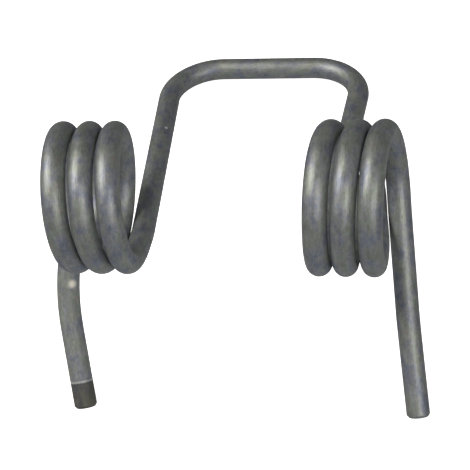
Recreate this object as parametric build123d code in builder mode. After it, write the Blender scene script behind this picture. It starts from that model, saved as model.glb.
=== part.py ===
"""Double torsion spring: one round wire wound into two coils of opposite hand.

The wire runs from the left leg through the left coil, along the U-shaped bail between the
coils, and through the right coil into the right leg. The coils are mirror images of each
other. The spring lies at rest: the bail's crossbar and the two leg tips touch the surface
and the coils stand above it. X runs along the coils, Y from the legs to the crossbar, Z up.
All lengths are in millimetres and all angles in degrees.
"""

import os
from math import asin, atan2, cos, radians, sin, tan

from build123d import *

# Wire
wire_diameter = 3.0
cut_end_chamfer = 0.25

# Coils
mean_coil_diameter = 16.0
turn_gap = 0.15  # clear space between neighbouring turns
closed_turns = 3  # turns that would bring the leg back in line with the bail's arm
coil_spacing = 23.6  # between the inner turns of the two coils, centre to centre
coil_toe = 2.2  # lean of each coil's outer end, away from the legs' side

# Bail
bail_width = 28.0  # between the two arms at the crossbar, centre to centre
bail_reach = 39.4  # from the coil's tangent point to the crossbar's centre line
bail_corner_radius = 7.0

# Legs
free_angle = 125.0  # between the bail and the legs, seen along the coils
leg_reach = 28.3  # from the coil's tangent point to the cut end
leg_splay = 4.2  # outward lean of the right leg, up to its slight bend
leg_end_splay = 6.1  # outward lean of the right leg, past its bend
leg_bend_distance = 16.0  # from the coil's tangent point to the right leg's bend
leg_bend_radius = 60.0
kicked_leg_splay = 8.0  # outward lean of the left leg, up to its kink
kicked_leg_return = 9.0  # inward lean of the left leg, past its kink
kink_distance = 13.2  # from the coil's tangent point to the left leg's kink
kink_radius = 30.0

# Where a turn runs out into a straight
lead_length = 2.4  # straight piece on the turn's own tangent
lead_bend_radius = 12.0

# Worked out from the sizes above
wire_radius = wire_diameter / 2
mean_coil_radius = mean_coil_diameter / 2
turn_pitch = wire_diameter + turn_gap
wound_turns = closed_turns - (180 - free_angle) / 360
coil_length = turn_pitch * wound_turns


def surface_slope():
    """Slope of the bail, found from the surface that its crossbar and the leg tips touch.

    The section is seen along the coils, with the coil's axis as origin and the bail's arm
    lying level under it. The surface is the tangent from the tip's lowest edge to the crossbar.
    """
    angle = radians(free_angle)
    to_edge = mean_coil_radius + wire_radius
    to_tip = leg_reach - cut_end_chamfer
    edge_y = to_edge * sin(angle) + to_tip * cos(angle)
    edge_z = to_edge * cos(angle) - to_tip * sin(angle)
    to_crossbar = Vector(bail_reach - edge_y, -mean_coil_radius - edge_z)
    rise = atan2(to_crossbar.Y, to_crossbar.X)
    return rise - asin(wire_radius / to_crossbar.length)


bail_slope = surface_slope()
leg_slope = radians(180 - free_angle) - bail_slope

along_arm = Vector(0, cos(bail_slope), -sin(bail_slope))
under_arm = Vector(0, -sin(bail_slope), -cos(bail_slope))
along_leg = Vector(0, -cos(leg_slope), -sin(leg_slope))
under_leg = Vector(0, sin(leg_slope), -cos(leg_slope))
axis_height = (
    wire_radius + mean_coil_radius * cos(bail_slope) + bail_reach * sin(bail_slope)
)


leg_root = Vector(0, 0, axis_height) + under_leg * mean_coil_radius


def coil_turns(side):
    """Centre line of one coil, from the bail outwards; side is 1 on the right, -1 on the left."""
    toe = radians(coil_toe)
    axis = Vector(side * cos(toe), 0, 0) - under_leg * sin(toe)
    start = Vector(side * coil_spacing / 2, 0, axis_height) + under_arm * mean_coil_radius
    outward = (under_arm - axis * under_arm.dot(axis)).normalized()
    centre = start - outward * mean_coil_radius
    frame = Plane(origin=centre, x_dir=outward, z_dir=axis)
    turns = Edge.make_helix(
        turn_pitch, coil_length, mean_coil_radius, lefthand=side > 0
    )
    return frame.location * turns


def bail_points(side, turns):
    """Start of the coil, end of its tangent lead and the bail's corner, on one side."""
    start = turns @ 0
    lead_end = start - (turns % 0) * lead_length
    corner = start + along_arm * bail_reach
    corner.X = side * bail_width / 2
    return [start, lead_end, corner]


def leg_points(side, turns, bend_distance, splay, end_splay):
    """Points of one leg from the coil's end over its bend to the cut end; splay is outwards."""
    start = turns @ 1
    lead_end = start + (turns % 1) * lead_length
    bend = leg_root + along_leg * bend_distance
    tip = leg_root + along_leg * leg_reach
    bend.X = lead_end.X + side * tan(radians(splay)) * (bend_distance - lead_length)
    tip.X = bend.X + side * tan(radians(end_splay)) * (leg_reach - bend_distance)
    return [start, lead_end, bend, tip]

def bent_wire(points, bend_radii):
    """Sweep the wire's section along straight runs with a bend at each inner point."""
    with BuildLine() as route:
        FilletPolyline(points, radius=bend_radii)
    with BuildSketch(Plane(origin=route.line @ 0, z_dir=route.line % 0)) as section:
        Circle(wire_radius)
    sweep(section.sketch, path=route.line)


def wound_wire(turns):
    """Sweep the wire's section along a coil."""
    with BuildSketch(Plane(origin=turns @ 0, z_dir=turns % 0)) as section:
        Circle(wire_radius)
    sweep(section.sketch, path=turns, is_frenet=True)


right_turns = coil_turns(1)
left_turns = coil_turns(-1)
right_bail = bail_points(1, right_turns)
left_bail = bail_points(-1, left_turns)
right_leg = leg_points(1, right_turns, leg_bend_distance, leg_splay, leg_end_splay)
left_leg = leg_points(-1, left_turns, kink_distance, kicked_leg_splay, -kicked_leg_return)

with BuildPart() as spring_wire:
    bent_wire(
        right_bail + left_bail[::-1],
        [lead_bend_radius, bail_corner_radius, bail_corner_radius, lead_bend_radius],
    )
    wound_wire(right_turns)
    wound_wire(left_turns)
    bent_wire(right_leg, [lead_bend_radius, leg_bend_radius])
    bent_wire(left_leg, [lead_bend_radius, kink_radius])
    for tip in (right_leg[-1], left_leg[-1]):
        rims = spring_wire.edges().filter_by(GeomType.CIRCLE)
        chamfer(rims.sort_by_distance(tip)[0], length=cut_end_chamfer)

# The origin is the middle of the box around the spring, on the surface
box = spring_wire.part.bounding_box()
to_origin = Location((-box.center().X, -box.center().Y, -box.min.Z))
with BuildPart() as torsion_spring:
    add(spring_wire.part.moved(to_origin))
torsion_spring.part.label = "torsion_spring"

os.makedirs("parts", exist_ok=True)
export_step(torsion_spring.part, "parts/torsion_spring.step")
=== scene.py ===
# %% [markdown]
# # Double torsion spring
#
# One round steel wire makes the whole spring. It runs from the left leg through the left
# coil, along the U-shaped bail between the coils, and through the right coil into the
# right leg. The spring lies at rest: the bail's crossbar and the two leg tips touch the
# surface, and the coils stand above it.
#
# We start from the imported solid. It gives the frame that every object here shares:
# metres, X along the coils, Y from the legs to the crossbar, Z up.

# %% Load the frame
from math import asin, atan2, cos, pi, radians, sin, tan

import bpy
from mathutils import Matrix, Vector


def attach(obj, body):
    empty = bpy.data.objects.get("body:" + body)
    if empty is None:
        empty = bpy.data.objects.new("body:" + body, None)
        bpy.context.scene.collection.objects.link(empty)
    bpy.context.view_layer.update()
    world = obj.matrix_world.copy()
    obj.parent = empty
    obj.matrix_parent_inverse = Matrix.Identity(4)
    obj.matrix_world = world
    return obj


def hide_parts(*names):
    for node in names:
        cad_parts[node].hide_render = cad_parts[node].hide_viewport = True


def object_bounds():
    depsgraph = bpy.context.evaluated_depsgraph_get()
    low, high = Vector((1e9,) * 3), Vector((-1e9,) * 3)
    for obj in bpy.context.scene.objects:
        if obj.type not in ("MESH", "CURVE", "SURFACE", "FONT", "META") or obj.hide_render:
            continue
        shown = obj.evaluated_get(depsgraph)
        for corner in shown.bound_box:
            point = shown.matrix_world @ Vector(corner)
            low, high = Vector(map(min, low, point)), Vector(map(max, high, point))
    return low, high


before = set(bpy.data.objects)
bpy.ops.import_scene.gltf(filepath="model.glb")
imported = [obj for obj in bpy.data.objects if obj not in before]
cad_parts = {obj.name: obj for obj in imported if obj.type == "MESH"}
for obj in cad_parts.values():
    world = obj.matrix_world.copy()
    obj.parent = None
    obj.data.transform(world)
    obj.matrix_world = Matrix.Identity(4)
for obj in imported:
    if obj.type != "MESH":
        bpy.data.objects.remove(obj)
cad_low, cad_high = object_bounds()
MM = 0.001  # the sizes below are in millimetres, and Blender's unit is the metre
print("solids in the frame:", list(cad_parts))
print("CAD box in mm:", [round(x / MM, 3) for x in (*cad_low, *cad_high)])

# %% [markdown]
# ## The wire's sizes
#
# A spring maker bends a wire to a drawing that gives its diameter, the coils' mean
# diameter, the turns, and the lengths and angles of the legs and the bail. We name the
# same sizes here, so that the wire's centre line can be worked out from them. Tracing a
# finished mesh would also give a line, but it would hide the rule behind the shape.

# %% Name the sizes, in millimetres and degrees
WIRE_RADIUS = 1.5
COIL_RADIUS = 8.0  # to the middle of the wire
TURN_PITCH = 3.15
FREE_ANGLE = 125.0  # between the bail and the legs, seen along the coils
WOUND_TURNS = 3 - (180 - FREE_ANGLE) / 360  # three whole turns would leave 180 degrees
COIL_SPACING = 23.6  # between the places where the bail runs into the two coils
COIL_TOE = 2.2  # how far each coil's axis leans away from its leg

BAIL_WIDTH = 28.0  # from corner to corner
BAIL_REACH = 39.4  # from where the coils start to the crossbar
BAIL_CORNER = 7.0  # radius of its corners

LEG_REACH = 28.3  # from under the coils' axis to the cut end
CUT_EDGE = 0.25  # taken off the edge of each cut end

LEAD = 2.4  # straight piece where a turn runs out
LEAD_BEND = 12.0  # radius of the bend that follows it
print(f"spring index: {COIL_RADIUS / WIRE_RADIUS:.2f}, turns in each coil: {WOUND_TURNS:.2f}")

# %% [markdown]
# ## How the spring lies
#
# Seen along the coils, the bail and the legs are the two arms of an open V, and the
# surface touches both arms' ends. A rigid body simulation could drop the spring and let
# it settle. But the line that touches the crossbar and the tips follows from the sizes
# alone, so we work out the slope of the bail, and it is exact.


# %% Work out the slopes and the directions along the arms
def surface_slope():
    """Slope of the bail in radians, from the line that touches the crossbar and the tips."""
    angle = radians(FREE_ANGLE)
    to_edge = COIL_RADIUS + WIRE_RADIUS
    to_tip = LEG_REACH - CUT_EDGE
    edge_y = to_edge * sin(angle) + to_tip * cos(angle)
    edge_z = to_edge * cos(angle) - to_tip * sin(angle)
    across, up = BAIL_REACH - edge_y, -COIL_RADIUS - edge_z
    return atan2(up, across) - asin(WIRE_RADIUS / (across**2 + up**2) ** 0.5)


bail_slope = surface_slope()
leg_slope = radians(180 - FREE_ANGLE) - bail_slope
axis_height = WIRE_RADIUS + COIL_RADIUS * cos(bail_slope) + BAIL_REACH * sin(bail_slope)

along_bail = Vector((0, cos(bail_slope), -sin(bail_slope)))
under_bail = Vector((0, -sin(bail_slope), -cos(bail_slope)))
along_leg = Vector((0, -cos(leg_slope), -sin(leg_slope)))
under_leg = Vector((0, sin(leg_slope), -cos(leg_slope)))
leg_root = Vector((0, 0, axis_height)) + under_leg * COIL_RADIUS
print("slopes in degrees:", [round(a * 180 / pi, 2) for a in (bail_slope, leg_slope)])

# %% [markdown]
# ## Turns that wander a little
#
# In a wound coil no two turns are quite alike. The wire settles a few tenths of a
# millimetre to one side or the other, so that some neighbours lean together. Random
# offsets could give the same look, but they might push two turns into each other. So we
# choose the sideways offset at a few places along each coil, and join the places with
# smooth steps. It is zero where a coil starts and ends, so the straight parts fit.

# %% Let the turns wander
# each pair is a count of turns from the bail, and how far to the right the wire lies there
RIGHT_WANDER = (
    (0.25, 0.0), (0.5, -0.2), (0.65, -0.2), (0.8, 0.05), (0.9, 0.05), (1.25, 0.08),
    (1.5, 0.05), (1.78, -0.06), (1.88, 0.11), (2.0, 0.42), (2.12, 0.36), (2.3, 0.1), (2.5, 0.0),
)
LEFT_WANDER = (
    (0.25, 0.3), (0.5, 0.15), (0.75, 0.15), (1.0, 0.1), (1.25, 0.0), (1.5, 0.1),
    (1.8, 0.05), (2.0, 0.0), (2.25, -0.1), (2.5, -0.12), (2.75, 0.0),
)


def wander(stations, turns):
    """Sideways offset at a count of turns, smooth between the stations and 0 at both ends."""
    line = ((0, 0), *stations, (WOUND_TURNS, 0))
    for (before, low), (after, high) in zip(line, line[1:]):
        if turns <= after:
            share = (turns - before) / (after - before)
            return low + (high - low) * (1 - cos(pi * share)) / 2
    return 0


widest = max(abs(offset) for turns, offset in RIGHT_WANDER + LEFT_WANDER)
print("largest sideways offset in mm:", widest)

# %% [markdown]
# ## The coils' centre lines
#
# A close-wound coil is a helix: a circle that climbs by one pitch with each turn. Blender
# has a Spiral node for that, but here the direction of the wire at both ends matters,
# because the straight parts carry on from it. So we work out the points ourselves. The
# two coils are of opposite hand, and `side` (1 right, -1 left) swaps the hand.

# %% Make the points of both coils, from the bail outwards
STEPS_PER_TURN = 72


def coil_points(side, stations):
    """Points of one coil, and the wire's direction where the coil starts and ends."""
    toe = radians(COIL_TOE)
    axis = Vector((side * cos(toe), 0, 0)) - under_leg * sin(toe)
    start = Vector((side * COIL_SPACING / 2, 0, axis_height)) + under_bail * COIL_RADIUS
    outward = (under_bail - axis * under_bail.dot(axis)).normalized()
    onward = axis.cross(outward) * -side
    centre = start - outward * COIL_RADIUS
    rise = TURN_PITCH / (2 * pi)
    total = WOUND_TURNS * 2 * pi

    def point(a):
        place = centre + (outward * cos(a) + onward * sin(a)) * COIL_RADIUS + axis * rise * a
        place.x += wander(stations, a / (2 * pi))
        return place

    def direction(a):
        around = (onward * cos(a) - outward * sin(a)) * COIL_RADIUS
        return (around + axis * rise).normalized()

    steps = round(STEPS_PER_TURN * WOUND_TURNS)
    points = [point(total * i / steps) for i in range(steps + 1)]
    return points, direction(0), direction(total)


right_coil, right_first, right_last = coil_points(1, RIGHT_WANDER)
left_coil, left_first, left_last = coil_points(-1, LEFT_WANDER)
print("points in each coil:", len(right_coil), len(left_coil))

# %% [markdown]
# ## Straight parts and their bends
#
# Legs and bail are straight runs with a bend at each corner. A bend is an arc that
# touches both runs. The Fillet Curve node rounds corners too, but it would see every
# point of the coils as a corner, and this wire has bends of four different radii. So a
# short function that rounds only the corners that it is given is plainer.

# %% Round the corners of a run
ARC_STEP = radians(2.5)  # the wire's turn from one point of an arc to the next


def rounded(points, radii):
    """Points along straight runs, with an arc at each inner point."""
    line = [points[0]]
    for before, corner, after, radius in zip(points, points[1:], points[2:], radii):
        into = (corner - before).normalized()
        out = (after - corner).normalized()
        turned = into.angle(out)
        inward = (out - into * into.dot(out)).normalized()
        first = corner - into * radius * tan(turned / 2)
        centre = first + inward * radius
        steps = max(2, round(turned / ARC_STEP))
        for i in range(steps + 1):
            a = turned * i / steps
            line.append(centre + (into * sin(a) - inward * cos(a)) * radius)
    return line + [points[-1]]


def line_length(points):
    """Length of a line of points, in millimetres."""
    return sum((b - a).length for a, b in zip(points, points[1:]))


print("points on an arc of 90 degrees:", round(radians(90) / ARC_STEP) + 1)

# %% [markdown]
# ## The legs
#
# The legs are what the spring pushes with. Each leaves its coil in a short lead, and
# then runs straight, apart from one slight bend. The right leg leans outwards all the
# way, and the left one comes back in after its bend. A Mirror modifier would save half
# of the work if they were alike, but they aren't, so each has values of its own.

# %% Make the legs
RIGHT_LEG = {"side": 1, "bend_at": 16.0, "lean": 4.2, "end_lean": 6.1, "bend_radius": 60.0}
LEFT_LEG = {"side": -1, "bend_at": 13.2, "lean": 8.0, "end_lean": -9.0, "bend_radius": 30.0}


def leg_line(start, direction, side, bend_at, lean, end_lean, bend_radius):
    """Points of one leg, from the coil's end to the cut end. It leans before and after a bend."""
    lead_end = start + direction * LEAD
    bend = leg_root + along_leg * bend_at
    tip = leg_root + along_leg * LEG_REACH
    bend.x = lead_end.x + side * tan(radians(lean)) * (bend_at - LEAD)
    tip.x = bend.x + side * tan(radians(end_lean)) * (LEG_REACH - bend_at)
    return rounded([start, lead_end, bend, tip], [LEAD_BEND, bend_radius])


right_leg = leg_line(right_coil[-1], right_last, **RIGHT_LEG)
left_leg = leg_line(left_coil[-1], left_last, **LEFT_LEG)
print("legs in mm:", [round(line_length(leg), 1) for leg in (right_leg, left_leg)])

# %% [markdown]
# ## The bail
#
# The bail is the U of wire between the coils, which bears on the part that is held. Each
# arm carries on from the start of its coil, backwards along the wire, and ends in a
# corner. A Bezier curve could be drawn to look like it, but a bending tool leaves true
# arcs. So we only name the corners' places, and round them as we did for the legs.


# %% Make the bail
def bail_end(side, start, direction):
    """The bail's three corner points on one side, from the coil to the crossbar."""
    corner = start + along_bail * BAIL_REACH
    corner.x = side * BAIL_WIDTH / 2
    return [start, start - direction * LEAD, corner]


right_bail = bail_end(1, right_coil[0], right_first)
left_bail = bail_end(-1, left_coil[0], left_first)
bail = rounded(left_bail + right_bail[::-1], [LEAD_BEND, BAIL_CORNER, BAIL_CORNER, LEAD_BEND])
print("bail in mm:", round(line_length(bail), 1))

# %% [markdown]
# ## One centre line
#
# The spring is one wire, so its five stretches become one line, from the left tip to the
# right one. Five separate objects could look the same from afar, but they would show
# seams where they meet, and the marks along the wire would start again at each.

# %% Join the five stretches
stretches = [left_leg[::-1], left_coil[::-1], bail, right_coil, right_leg]
route = [stretches[0][0]] + [p for stretch in stretches for p in stretch[1:]]
print(f"wire: {len(route)} points, {line_length(route):.1f} mm long")

# %% [markdown]
# ## A curve object for the wire to follow
#
# A curve has no thickness of its own. It only says where the middle of the wire runs. A
# poly spline goes straight from point to point, which is right here, because our points
# already lie close together on every bend. A smoother kind would cut the corners.


# %% Make the curve
def centre_curve(points):
    """A curve object with one poly spline through the points, in metres."""
    curve = bpy.data.curves.new("wire_route", "CURVE")
    curve.dimensions = "3D"
    spline = curve.splines.new("POLY")
    spline.points.add(len(points) - 1)
    for knot, p in zip(spline.points, points):
        knot.co = (*(p * MM), 1)
    holder = bpy.data.objects.new("wire_route", curve)
    bpy.context.scene.collection.objects.link(holder)
    return holder


wire_route = centre_curve(route)
print("points in the spline:", len(wire_route.data.splines[0].points))

# %% [markdown]
# ## Small helpers for node trees
#
# Materials and Geometry Nodes are both trees of nodes. One helper adds a node, sets its
# inputs and links it, so that each cell below reads like a list of what is on the canvas.
# The tree that they first serve is the wire's own, which starts empty.


# %% Add a node in one line
def put(tree, kind, inputs=None, **settings):
    """Add a node. An input is given a plain value, or another node's output to link to."""
    made = tree.nodes.new(kind)
    for name, value in settings.items():
        setattr(made, name, value)
    for key, value in (inputs or {}).items():
        if isinstance(value, bpy.types.NodeSocket):
            tree.links.new(value, made.inputs[key])
        else:
            made.inputs[key].default_value = value
    return made


def calc(tree, operation, *values):
    """A Math node, as its output socket."""
    return put(tree, "ShaderNodeMath", dict(enumerate(values)), operation=operation).outputs[0]


round_wire = bpy.data.node_groups.new("round_wire", "GeometryNodeTree")
print("nodes in the new tree:", len(round_wire.nodes))

# %% [markdown]
# ## From a line to a wire with Geometry Nodes
#
# The wire's shape follows one rule, a circle carried along a line, which is what the
# Curve to Mesh node does. The curve's own bevel setting does the same, but in a node
# tree we can do three more things: take the sharp edge off the two cut ends, roughen the
# surface very slightly, and store for each point where it was on the wire before winding.
# The finish uses that last value, because the marks that a drawing die leaves run along
# the wire, round every turn.
#
# A tree has inputs, which show as settings of its modifier. We start by naming them.

# %% Name the tree's inputs
WIRE_INPUTS = (
    ("Route", "NodeSocketGeometry"),
    ("Wire Radius", "NodeSocketFloat"),
    ("Ring Spacing", "NodeSocketFloat"),
    ("Cut Edge", "NodeSocketFloat"),
    ("Relief Depth", "NodeSocketFloat"),
    ("Relief Size", "NodeSocketFloat"),
    ("Sides", "NodeSocketInt"),
    ("Seed", "NodeSocketFloat"),
    ("Steel", "NodeSocketMaterial"),
)


def named_inputs(tree):
    """Give the tree its inputs and its output, and return the inputs to link from."""
    for name, kind in WIRE_INPUTS:
        tree.interface.new_socket(name, in_out="INPUT", socket_type=kind)
    tree.interface.new_socket("Wire", in_out="OUTPUT", socket_type="NodeSocketGeometry")
    return put(tree, "NodeGroupInput").outputs


given = named_inputs(round_wire)
print("inputs of the tree:", [name for name, kind in WIRE_INPUTS])

# %% [markdown]
# ### Rings along the route
#
# The route's points lie close on the bends and far apart on the straight runs. Resample
# Curve spaces them evenly, so that all facets of the wire have about the same length.
# Each point becomes a ring of the mesh. A ring that is nearer to a cut end than the cut
# edge is long gets a smaller scale, which takes off the sharp edge there, as a file does.


# %% Space the rings and narrow the last ones
def even_rings(tree, given):
    """The route in even steps. Each ring keeps how far along it is, and its scale."""
    rings = put(
        tree,
        "GeometryNodeResampleCurve",
        {"Curve": given["Route"], "Length": given["Ring Spacing"]},
        mode="LENGTH",
    )
    along = put(tree, "GeometryNodeSplineParameter").outputs["Length"]
    whole = put(tree, "GeometryNodeSplineLength").outputs["Length"]
    from_end = calc(tree, "MINIMUM", along, calc(tree, "SUBTRACT", whole, along))
    short_of = calc(tree, "MAXIMUM", calc(tree, "SUBTRACT", given["Cut Edge"], from_end), 0.0)
    scale = calc(tree, "SUBTRACT", 1.0, calc(tree, "DIVIDE", short_of, given["Wire Radius"]))
    kept = put(tree, "GeometryNodeCaptureAttribute", {"Geometry": rings.outputs[0]})
    for name, source in (("Along", along), ("Scale", scale)):
        kept.capture_items.new("FLOAT", name)
        tree.links.new(source, kept.inputs[name])
    return kept.outputs


rings = even_rings(round_wire, given)
print("nodes so far:", len(round_wire.nodes))

# %% [markdown]
# ### The round section
#
# The circle that is carried along has its own flat plane. We capture each point's place
# in that plane now, because on the finished wire only its place in space is left.


# %% Make the section
def round_section(tree, given):
    """A circle of the wire's size. Each point keeps its place on the rim."""
    circle = put(
        tree,
        "GeometryNodeCurvePrimitiveCircle",
        {"Resolution": given["Sides"], "Radius": given["Wire Radius"]},
    )
    kept = put(tree, "GeometryNodeCaptureAttribute", {"Geometry": circle.outputs[0]})
    kept.capture_items.new("VECTOR", "Rim")
    tree.links.new(put(tree, "GeometryNodeInputPosition").outputs[0], kept.inputs["Rim"])
    return kept.outputs


section = round_section(round_wire, given)
print("nodes so far:", len(round_wire.nodes))

# %% [markdown]
# ### The wire, and where each point was before winding
#
# Curve to Mesh carries the section along the rings and closes both ends. The place on
# the rim and the length along the route together say where a point was on the straight
# wire. We store that as the attribute `unwound`. A UV map would do nearly the same, but it
# has a seam along the wire, and its units aren't lengths.


# %% Carry the section along the rings
def stored(tree, shape, name, value, kind, domain):
    """The shape with one more named attribute."""
    return put(
        tree,
        "GeometryNodeStoreNamedAttribute",
        {"Geometry": shape, "Name": name, "Value": value},
        data_type=kind,
        domain=domain,
    ).outputs[0]


def carried(tree, rings, section):
    """The wire as a mesh that holds `unwound`, and the socket of that value."""
    inputs = {
        "Curve": rings[0],
        "Profile Curve": section[0],
        "Scale": rings["Scale"],
        "Fill Caps": True,
    }
    wire = put(tree, "GeometryNodeCurveToMesh", inputs).outputs[0]
    rim = put(tree, "ShaderNodeSeparateXYZ", {0: section["Rim"]}).outputs
    place = {"X": rim["X"], "Y": rim["Y"], "Z": rings["Along"]}
    unwound = put(tree, "ShaderNodeCombineXYZ", place).outputs[0]
    return stored(tree, wire, "unwound", unwound, "FLOAT_VECTOR", "POINT"), unwound


wire_shape, wire_place = carried(round_wire, rings, section)
print("nodes so far:", len(round_wire.nodes))

# %% [markdown]
# ### The cut ends
#
# The film doesn't cover the sheared steel of the two cut ends so evenly, so the finish
# has to know where they are. Each is one face with as many corners as the section has
# sides, and all other faces have four. A count of corners tells them apart, which is
# simpler than picking faces by their place.

# %% Mark the cut ends
SIDE_CORNERS = 4  # of a face on the wire's side


def ends_marked(tree, shape):
    """The wire with the attribute `cut_end`, 1 on the two end faces and 0 elsewhere."""
    corners = put(tree, "GeometryNodeInputMeshFaceNeighbors").outputs["Vertex Count"]
    is_end = calc(tree, "GREATER_THAN", corners, SIDE_CORNERS)
    return stored(tree, shape, "cut_end", is_end, "FLOAT", "FACE")


wire_shape = ends_marked(round_wire, wire_shape)
print("nodes so far:", len(round_wire.nodes))

# %% [markdown]
# ### Slight unevenness
#
# Drawn wire isn't perfectly round. Noise moves each point along its normal, always
# inwards, so that the wire never grows past its size. A Displace modifier could do it
# too, but its texture wouldn't follow the wire round the turns.


# %% Roughen the surface
def uneven(tree, shape, place, given):
    """The wire with its points moved inwards by noise, by up to the relief depth."""
    bumps = put(
        tree,
        "ShaderNodeTexNoise",
        {
            "Vector": place,
            "W": given["Seed"],
            "Scale": calc(tree, "DIVIDE", 1.0, given["Relief Size"]),
            "Detail": 1.0,
        },
        noise_dimensions="4D",
    )
    depth = calc(tree, "MULTIPLY", bumps.outputs[0], given["Relief Depth"])
    normal = put(tree, "GeometryNodeInputNormal").outputs[0]
    inputs = {0: normal, "Scale": calc(tree, "MULTIPLY", depth, -1.0)}
    inward = put(tree, "ShaderNodeVectorMath", inputs, operation="SCALE").outputs[0]
    return put(tree, "GeometryNodeSetPosition", {"Geometry": shape, "Offset": inward}).outputs[0]


wire_shape = uneven(round_wire, wire_shape, wire_place, given)
print("nodes so far:", len(round_wire.nodes))

# %% [markdown]
# ### Smooth sides, sharp ends
#
# The sides are shaded smooth, and an edge where two faces meet at a clear angle stays
# sharp, as round the cut ends. Blender reads that from the attribute `sharp_edge`. The
# last two nodes make sure that plain mesh comes out, with its finish on it.

# %% Shade the wire and end the tree
SHARP_ANGLE = radians(32)  # no bend of the wire folds two faces as much as this


def shaded(tree, shape):
    """The wire, smooth all over but for its sharp edges."""
    smooth = put(tree, "GeometryNodeSetShadeSmooth", {"Geometry": shape}).outputs[0]
    fold = put(tree, "GeometryNodeInputMeshEdgeAngle").outputs["Unsigned Angle"]
    is_sharp = put(
        tree, "FunctionNodeCompare", {0: fold, 1: SHARP_ANGLE}, operation="GREATER_THAN"
    ).outputs[0]
    return stored(tree, smooth, "sharp_edge", is_sharp, "BOOLEAN", "EDGE")


def end_tree(tree, shape, given):
    """Realize what is instanced, set the material and link the result to the output."""
    real = put(tree, "GeometryNodeRealizeInstances", {"Geometry": shape}).outputs[0]
    inputs = {"Geometry": real, "Material": given["Steel"]}
    finished = put(tree, "GeometryNodeSetMaterial", inputs).outputs[0]
    put(tree, "NodeGroupOutput", {0: finished})


end_tree(round_wire, shaded(round_wire, wire_shape), given)
print("nodes in the whole tree:", len(round_wire.nodes))

# %% [markdown]
# ## The finish of the wire
#
# Spring wire like this is drawn through a die, wound, heated to relieve it, and left
# with a thin grey phosphate film. Close up, it is a dull dark grey with a soft shine and
# small cloudy patches, some bluish, some greenish or brown, and fine marks along the
# wire. All the patterns read `unwound`, so they follow the wire round every turn, as
# they do on the real thing. Image textures would do too, but a pattern of noise never
# repeats and stays sharp at any distance.


# %% Start the material
def attribute(tree, name):
    """An attribute of the mesh, as the outputs of its node."""
    return put(
        tree, "ShaderNodeAttribute", attribute_name=name, attribute_type="GEOMETRY"
    ).outputs


phosphated_steel = bpy.data.materials.new("phosphated_steel")
phosphated_steel.use_nodes = True
steel = phosphated_steel.node_tree
unwound = attribute(steel, "unwound")["Vector"]
cut_end = attribute(steel, "cut_end")["Fac"]
along = put(steel, "ShaderNodeSeparateXYZ", {0: unwound}).outputs["Z"]
print("attributes that the finish reads: unwound, cut_end")

# %% [markdown]
# ### Four patterns
#
# Four noises of different size make the finish: broad tints, patches, the long fine
# streaks of the drawing die, and grain. One noise with more detail would be simpler, but
# then all of them would lie in the same places. `stretch` draws a pattern out along the
# wire, and a high `roughness` keeps its fine detail strong.

# %% Make the patterns
TINTS = {"size": 1.7, "detail": 6.0, "stretch": 1.5, "roughness": 0.68}
PATCHES = {"size": 1.0, "detail": 5.0, "stretch": 1.3, "roughness": 0.68}
STREAKS = {"size": 0.20, "detail": 3.0, "stretch": 12.0, "roughness": 0.55}
GRAIN = {"size": 0.26, "detail": 3.0, "stretch": 1.8, "roughness": 0.75}


def wire_noise(tree, unwound, size, detail, stretch, roughness):
    """Noise with patches of about this size in mm, drawn out along the wire by stretch."""
    place = put(tree, "ShaderNodeMapping", {"Vector": unwound, "Scale": (1, 1, 1 / stretch)})
    inputs = {
        "Vector": place.outputs[0],
        "Scale": 1 / (size * MM),
        "Detail": detail,
        "Roughness": roughness,
    }
    return put(tree, "ShaderNodeTexNoise", inputs).outputs[0]


tints, patches, streaks, grain = (
    wire_noise(steel, unwound, **pattern) for pattern in (TINTS, PATCHES, STREAKS, GRAIN)
)
print("pattern sizes in mm:", [p["size"] for p in (TINTS, PATCHES, STREAKS, GRAIN)])

# %% [markdown]
# ### Tints of the film
#
# The film took up differently from place to place, and its tints are too weak to have
# edges. A colour ramp over the broad noise gives them, and the three finer noises make
# the result lighter and darker.

# %% Mix the film's colours
FILM_TINTS = (
    (0.30, (0.196, 0.208, 0.262, 1)),  # slate blue
    (0.42, (0.228, 0.248, 0.284, 1)),
    (0.50, (0.280, 0.285, 0.286, 1)),  # plain grey
    (0.57, (0.258, 0.292, 0.256, 1)),  # a little green
    (0.70, (0.312, 0.272, 0.268, 1)),  # a little brown
)
FILM_LIGHT = -0.03  # the level that the three patterns below add to
PATCH_LIGHT, STREAK_LIGHT, GRAIN_LIGHT = 1.0, 0.40, 0.75


def film_colour(tree, tints, patches, streaks, grain):
    """The film's colour at each point, as an output socket."""
    ramp = put(tree, "ShaderNodeValToRGB", {0: tints})
    stops = ramp.color_ramp.elements
    for _ in FILM_TINTS[2:]:  # a new ramp already has two stops
        stops.new(0.5)
    for stop, (position, tint) in zip(stops, FILM_TINTS):
        stop.position, stop.color = position, tint
    light = calc(tree, "MULTIPLY_ADD", patches, PATCH_LIGHT, FILM_LIGHT)
    light = calc(tree, "MULTIPLY_ADD", streaks, STREAK_LIGHT, light)
    light = calc(tree, "MULTIPLY_ADD", grain, GRAIN_LIGHT, light)
    return put(
        tree, "ShaderNodeVectorMath", {0: ramp.outputs[0], "Scale": light}, operation="SCALE"
    ).outputs[0]


colour = film_colour(steel, tints, patches, streaks, grain)
print("tints on the ramp:", len(FILM_TINTS))

# %% [markdown]
# ### Spots
#
# On the left leg, next to the coil, a light spot is painted where the leg bends: a
# painted highlight. A small pale speck sits on the bail. Both could be painted on an image.
# But a spot is only a place and a radius, and `unwound` lets us give the place as on the
# straight wire: across it, and along it from the left tip.

# %% Make the painted highlight and the pale speck
# first a painted highlight on the left leg's bend, then the pale speck on the bail
PAINTED_HIGHLIGHT_SPOT = ((0.81, -1.26, 16.7), 0.85)  # place and radius, in millimetres
PALE_SPECK = ((1.50, 0.00, 195.25), 0.34)
SPOT_CORE = 0.2  # the share of its radius where a spot has its full strength


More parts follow.
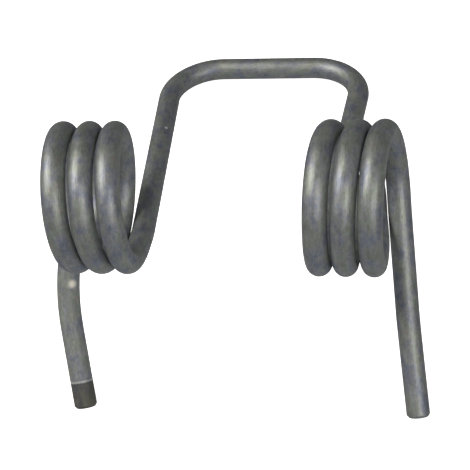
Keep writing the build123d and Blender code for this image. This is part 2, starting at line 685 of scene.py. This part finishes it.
def fade(tree, value, none_at, full_at, **settings):
    """0 where the value is none_at, rising to 1 where it is full_at, both in millimetres."""
    inputs = {"Value": value, "From Min": none_at * MM, "From Max": full_at * MM}
    return put(tree, "ShaderNodeMapRange", inputs, **settings).outputs[0]


def soft_spot(tree, unwound, place, radius):
    """1 in the middle of a small soft mark, 0 outside it."""
    centre = tuple(x * MM for x in place)
    away = put(
        tree, "ShaderNodeVectorMath", {0: unwound, 1: centre}, operation="DISTANCE"
    ).outputs["Value"]
    return fade(tree, away, radius, SPOT_CORE * radius, interpolation_type="SMOOTHSTEP")


# a painted highlight: lighter colour where the left leg bends next to the coil
painted_highlight = soft_spot(steel, unwound, *PAINTED_HIGHLIGHT_SPOT)
speck = soft_spot(steel, unwound, *PALE_SPECK)
print("spots along the wire, in mm:", PAINTED_HIGHLIGHT_SPOT[0][2], PALE_SPECK[0][2])

# %% [markdown]
# ### The stained end
#
# The last few millimetres of the left leg are darker and browner, as if that end had
# stood in something, behind a thin light line where it stopped. A thin sleeve of mesh
# could carry such a mark, but a stain has no thickness. In the material it only needs
# the length along the wire, and the patches break the line up as a tide mark is.

# %% Make the dark band and its light line
BAND_LENGTH = 3.4  # from the left tip
BAND_FADE = 0.05  # how soft its edge is, to each side
LINE_HALF = 0.18  # half of the light line's width
LINE_CORE = 0.3  # the share of it that has its full strength
LINE_GAIN, LINE_OFFSET = 1.6, -0.1  # from the patches to how strong the line is there


def dark_band(tree, along):
    """1 near the left tip, 0 beyond the band."""
    return fade(tree, along, BAND_LENGTH + BAND_FADE, BAND_LENGTH - BAND_FADE)


def light_line(tree, along, patches):
    """A thin broken line round the wire where the band ends."""
    off = calc(tree, "ABSOLUTE", calc(tree, "SUBTRACT", along, (BAND_LENGTH + LINE_HALF) * MM))
    line = fade(tree, off, LINE_HALF, LINE_CORE * LINE_HALF)
    strength = calc(tree, "MULTIPLY_ADD", patches, LINE_GAIN, LINE_OFFSET)
    return calc(tree, "MULTIPLY", line, strength)


band = dark_band(steel, along)
line = light_line(steel, along, patches)
print("band from the left tip, in mm:", BAND_LENGTH)

# %% [markdown]
# ### Colour
#
# The marks and the painted highlight go over the film one after the other, as layers of
# paint would. Last come the two cut ends, where a shear went through the wire: grey bare
# steel, with film left in some of the grain. A second material on those two faces would do
# as well, but then the grain would have to be made twice.

# %% Lay the marks over the film
BAND_SHARE = (0.50, 0.48, 0.44)  # what the band leaves of the film's red, green and blue
LINE_COLOUR = (0.62, 0.62, 0.58, 1)
# the colour of the painted highlight on the left leg's bend
HIGHLIGHT_PAINT = (0.80, 0.78, 0.70, 1)
PALE_DUST = (0.85, 0.84, 0.80, 1)
SHEARED_STEEL = (0.46, 0.46, 0.45, 1)
SHEARED_GAIN, SHEARED_OFFSET = 0.9, 0.2  # from the grain to how bare the cut is there


def mixed(tree, amount, first, second):
    """Mix two colours, as the result's output socket."""
    # a Mix node has sockets for every kind of value, and 0, 6, 7 and 2 are those for colour
    inputs = {0: amount, 6: first, 7: second}
    return put(tree, "ShaderNodeMix", inputs, data_type="RGBA").outputs[2]


def layered(tree, colour, layers):
    """A colour with layers over it. Each layer is how much of it there is, and its colour."""
    for amount, over in layers:
        colour = mixed(tree, amount, colour, over)
    return colour


browner = put(
    steel, "ShaderNodeVectorMath", {0: colour, 1: BAND_SHARE}, operation="MULTIPLY"
).outputs[0]
how_bare = calc(steel, "MULTIPLY_ADD", grain, SHEARED_GAIN, SHEARED_OFFSET)
sheared = calc(steel, "MULTIPLY", cut_end, how_bare)
layers = (
    (band, browner),
    (line, LINE_COLOUR),
    # the painted highlight on the left leg's bend
    (painted_highlight, HIGHLIGHT_PAINT),
    (speck, PALE_DUST),
    (sheared, SHEARED_STEEL),
)
shader = steel.nodes["Principled BSDF"]
steel.links.new(layered(steel, colour, layers), shader.inputs["Base Color"])
print("layers over the film:", len(layers))

# %% [markdown]
# ### Shine and fine relief
#
# The film's lighter patches are rougher, and the left leg is duller than the rest. The
# grain and the streaks also go into a bump, which shades the surface as if it were uneven
# without moving it. They are too fine for real relief: a mesh that showed them would have
# millions of faces. What is the same all over is set on the shader itself.

# %% Set the shine
FILM_ROUGHNESS, PATCH_ROUGHNESS = 0.42, 0.22
DULL_LENGTH = (18.0, 24.0)  # dull up to the first, and like the rest from the second on
DULL_ROUGHNESS = 0.20
BUMP_DEPTH = 0.035  # millimetres
STREAK_DEPTH = 0.6  # as a share of the grain's


def shine(tree, along, patches):
    """Roughness at each point, as an output socket."""
    rough = calc(tree, "MULTIPLY_ADD", patches, PATCH_ROUGHNESS, FILM_ROUGHNESS)
    dull_to, film_from = DULL_LENGTH
    dull = fade(tree, along, film_from, dull_to)
    return calc(tree, "MULTIPLY_ADD", dull, DULL_ROUGHNESS, rough)


def fine_relief(tree, grain, streaks):
    """Bump from the grain and the streaks, as an output socket."""
    height = calc(tree, "ADD", grain, calc(tree, "MULTIPLY", streaks, STREAK_DEPTH))
    inputs = {"Strength": 1.0, "Distance": BUMP_DEPTH * MM, "Height": height}
    return put(tree, "ShaderNodeBump", inputs).outputs[0]


steel.links.new(shine(steel, along, patches), shader.inputs["Roughness"])
steel.links.new(fine_relief(steel, grain, streaks), shader.inputs["Normal"])
shader.inputs["Metallic"].default_value = 0.8
shader.inputs["Specular IOR Level"].default_value = 0.35
print("nodes in the whole material:", len(steel.nodes))

# %% [markdown]
# ## Run the tree
#
# A node tree becomes a shape when a modifier runs it on an object. Each input is set by
# its socket's identifier, because names may repeat and identifiers don't. We then copy
# the result into a plain mesh and let the curve and its modifier go: the export needs
# real geometry, and nothing has to be worked out again later.

# %% Turn the route into the wire
RING_SPACING = 0.34  # millimetres, as are the relief's sizes
SECTION_SIDES = 44
RELIEF_DEPTH, RELIEF_SIZE = 0.02, 2.0
RELIEF_SEED = 3.0  # another number gives another pattern, and the same one the same


def made_by(tree, holder, values, name):
    """Run a tree on an object and return its result as a new mesh object."""
    modifier = holder.modifiers.new(tree.name, "NODES")
    modifier.node_group = tree
    for item in tree.interface.items_tree:
        if item.in_out == "INPUT" and item.name in values:
            modifier[item.identifier] = values[item.name]
    ready = holder.evaluated_get(bpy.context.evaluated_depsgraph_get())
    mesh = bpy.data.meshes.new_from_object(ready)
    bpy.data.objects.remove(holder)
    mesh.name = name
    piece = bpy.data.objects.new(name, mesh)
    bpy.context.scene.collection.objects.link(piece)
    return piece


wire_values = {
    "Wire Radius": WIRE_RADIUS * MM,
    "Ring Spacing": RING_SPACING * MM,
    "Cut Edge": CUT_EDGE * MM,
    "Relief Depth": RELIEF_DEPTH * MM,
    "Relief Size": RELIEF_SIZE * MM,
    "Sides": SECTION_SIDES,
    "Seed": RELIEF_SEED,
    "Steel": phosphated_steel,
}
spring_wire = made_by(round_wire, wire_route, wire_values, "spring_wire")
print("faces:", len(spring_wire.data.polygons), "materials:", spring_wire.data.materials[:])

# %% [markdown]
# ## Set the wire where the solid is
#
# The sizes above put the coils' axes over the origin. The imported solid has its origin
# under the middle of its box, so the wire is moved by the difference of the two boxes.
# We move the mesh and not the object, because a pattern or an export that reads the
# object's own coordinates would slide if the object stood anywhere but at the origin.

# %% Move the wire into the shared frame
corners = [v.co for v in spring_wire.data.vertices]
low = Vector([min(c[i] for c in corners) for i in range(3)])
high = Vector([max(c[i] for c in corners) for i in range(3)])
shift = (cad_low + cad_high - low - high) / 2
shift.z = cad_low.z - low.z
spring_wire.data.transform(Matrix.Translation(shift))
print("shift in mm:", [round(x / MM, 3) for x in shift])

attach(spring_wire, "root")
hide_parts("torsion_spring")

# %% [markdown]
# ## Floor
#
# A pale plain floor that the spring lies on. It is stage, and not part of the object. It
# reaches so far that its edge never shows. Brighter lights would make it pale, but would
# make the wire too bright as well, so the floor glows by itself. It is also hidden from
# glossy rays: mirrored in the wire, so bright a floor would wash out the dark edges.

# %% Make the floor
FLOOR_HALF = 30.0  # metres from the middle to each edge
FLOOR_GAP = 0.02  # the floor lies this much lower than the wire, in millimetres


def plain_floor():
    """A large pale square under the spring."""
    mesh = bpy.data.meshes.new("floor")
    half = FLOOR_HALF
    mesh.from_pydata(
        [(-half, -half, 0), (half, -half, 0), (half, half, 0), (-half, half, 0)],
        [],
        [(0, 1, 2, 3)],
    )
    floor = bpy.data.objects.new("floor", mesh)
    bpy.context.scene.collection.objects.link(floor)
    floor.location.z = cad_low.z - FLOOR_GAP * MM
    material = bpy.data.materials.new("pale_floor")
    material.use_nodes = True
    shader = material.node_tree.nodes["Principled BSDF"]
    shader.inputs["Base Color"].default_value = (0.92, 0.92, 0.92, 1)
    shader.inputs["Roughness"].default_value = 0.9
    shader.inputs["Specular IOR Level"].default_value = 0.1
    shader.inputs["Emission Color"].default_value = (1, 1, 1, 1)
    shader.inputs["Emission Strength"].default_value = 0.95
    mesh.materials.append(material)
    floor.visible_glossy = False
    return floor


floor = plain_floor()
print("floor height in mm:", round(floor.location.z / MM, 3))

# %% [markdown]
# ## Camera
#
# The camera looks down on the spring from the legs' side, and from a little to the
# right. It is turned about its own line of sight, so that the spring stands upright in
# the frame. A Track To constraint would aim it, but wouldn't turn it like that, so we
# build its three directions from the angles.

# %% Work out where the camera looks
AZIMUTH, ELEVATION, ROLL = 21.68, 60.66, -18.71  # degrees
TARGET = (-0.459, -7.876, 14.008)  # millimetres
DISTANCE = 184.86  # millimetres, from the camera to the target

azimuth, elevation, roll = radians(AZIMUTH), radians(ELEVATION), radians(ROLL)
forward = Vector(
    (-sin(azimuth) * cos(elevation), cos(azimuth) * cos(elevation), -sin(elevation))
)
level_right = Vector((cos(azimuth), sin(azimuth), 0))
level_up = level_right.cross(forward)
right = level_right * cos(roll) + level_up * sin(roll)
up = level_up * cos(roll) - level_right * sin(roll)
target = Vector(TARGET) * MM
print("line of sight:", [round(x, 3) for x in forward])

# %% [markdown]
# ### Lens
#
# How much smaller far things look depends only on where the camera stands, and how large
# the spring is in the frame depends on the lens. A wide lens would have to stand so close
# that the legs would loom. The focal length is counted in pixels of the frame's width,
# and Blender wants it in millimetres of the sensor's.

# %% Make the camera
SENSOR_WIDTH = 36  # millimetres
FRAME_WIDTH = 470  # pixels
FOCAL_LENGTH = 1450  # pixels
NEAREST, FURTHEST = 0.01, 100  # what the camera sees, in metres

lens = bpy.data.cameras.new("camera")
lens.sensor_width = SENSOR_WIDTH
lens.lens = FOCAL_LENGTH / FRAME_WIDTH * SENSOR_WIDTH
lens.clip_start, lens.clip_end = NEAREST, FURTHEST
camera = bpy.data.objects.new("camera", lens)
bpy.context.scene.collection.objects.link(camera)
camera.matrix_world = Matrix.Translation(target - forward * (DISTANCE * MM)) @ Matrix(
    (right, up, -forward)
).transposed().to_4x4()
bpy.context.scene.camera = camera
print("lens in mm:", round(lens.lens, 1))

# %% [markdown]
# ## Lights
#
# Two soft area lights. The large one stands to the upper left of the camera, and draws
# the long highlights down the turns. The small one, to the right, gives each turn a
# second, weaker one. Point lights would give hard sparks on round wire, while a wide
# light close by has a highlight with soft edges. Their places are angles off the line to
# the camera, so they are easy to change by eye.

# %% Make the lights
WARM_WHITE = (1.0, 0.96, 0.90)


def soft_light(name, leftwards, upwards, away, size, power):
    """An area light, placed by the angles to the left of and above the line to the camera."""
    light = bpy.data.lights.new(name, "AREA")
    light.shape = "RECTANGLE"
    light.size, light.size_y = size
    light.energy = power
    light.color = WARM_WHITE
    side, rise = radians(leftwards), radians(upwards)
    to_light = (-forward * cos(side) - right * sin(side)) * cos(rise) + up * sin(rise)
    holder = bpy.data.objects.new(name, light)
    bpy.context.scene.collection.objects.link(holder)
    holder.location = target + to_light * away
    holder.rotation_euler = to_light.to_track_quat("Z", "Y").to_euler()
    return holder


lights = (
    soft_light("left_light", leftwards=54, upwards=28, away=0.6, size=(0.22, 0.28), power=2.7),
    soft_light("right_light", leftwards=-23, upwards=-5, away=0.6, size=(0.14, 0.24), power=1.35),
)
print("lights in watts:", [round(light.data.energy, 2) for light in lights])

# %% [markdown]
# ## Surroundings
#
# A metal shows what is around it, so the world matters as much as the lights. This one
# is dim and slightly blue, as shade in a pale room is, and brighter on the legs' side.
# One even colour would be simpler, but it would leave the wire flat. The Standard view
# transform keeps the pale floor pale, where the default one would make it grey.

# %% Make the world
BRIGHT_SIDE = (0.2, -0.9, 0.1)
SIDE_REACH = 0.9  # how far along that direction the change goes, each way
DARK_LEVEL, BRIGHT_LEVEL = 0.10, 0.26
SHADE_BLUE = (0.90, 0.93, 1.0, 1)


def surroundings():
    """A world that is dim behind the spring and brighter on the legs' side."""
    world = bpy.data.worlds.new("studio")
    world.use_nodes = True
    sky = world.node_tree
    seen = put(sky, "ShaderNodeTexCoord").outputs["Generated"]
    ahead = put(
        sky, "ShaderNodeVectorMath", {0: seen, 1: BRIGHT_SIDE}, operation="DOT_PRODUCT"
    ).outputs["Value"]
    inputs = {
        "Value": ahead,
        "From Min": -SIDE_REACH,
        "From Max": SIDE_REACH,
        "To Min": DARK_LEVEL,
        "To Max": BRIGHT_LEVEL,
    }
    level = put(sky, "ShaderNodeMapRange", inputs).outputs[0]
    sky.links.new(level, sky.nodes["Background"].inputs["Strength"])
    sky.nodes["Background"].inputs["Color"].default_value = SHADE_BLUE
    return world


bpy.context.scene.world = surroundings()
bpy.context.scene.view_settings.view_transform = "Standard"
print("world from", DARK_LEVEL, "to", BRIGHT_LEVEL)
